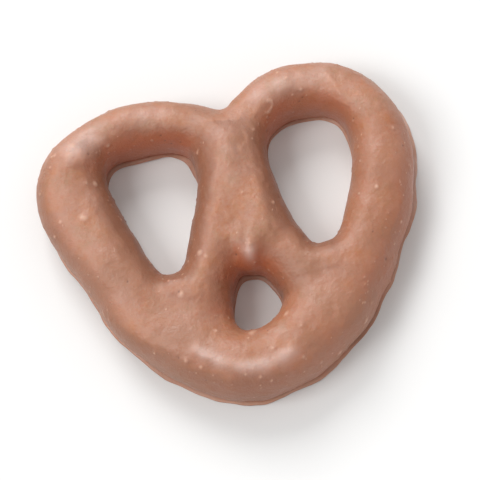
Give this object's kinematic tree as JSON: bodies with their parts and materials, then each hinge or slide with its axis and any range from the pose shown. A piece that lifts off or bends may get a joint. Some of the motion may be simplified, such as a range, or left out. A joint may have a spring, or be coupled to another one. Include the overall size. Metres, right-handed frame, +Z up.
{
  "type": "chocolate covered pretzel",
  "caption": "Small twist pretzel fully coated in satin milk chocolate, heart-shaped with three holes, lying on its flat base.",
  "frame": {"origin": "middle of the bounding box, on the plane of the flat base", "axes": "+Z up out of the base, +Y towards the notch between the two lobes, +X towards the right lobe as seen from above"},
  "size_m": [0.0282, 0.0244, 0.0055],
  "materials": {
    "milk_chocolate": "satin milk chocolate with soft highlights, faint mottling and small pale specks"
  },
  "bodies": {
    "root": {"pretzel": "milk_chocolate"}
  },
  "joints": []
}
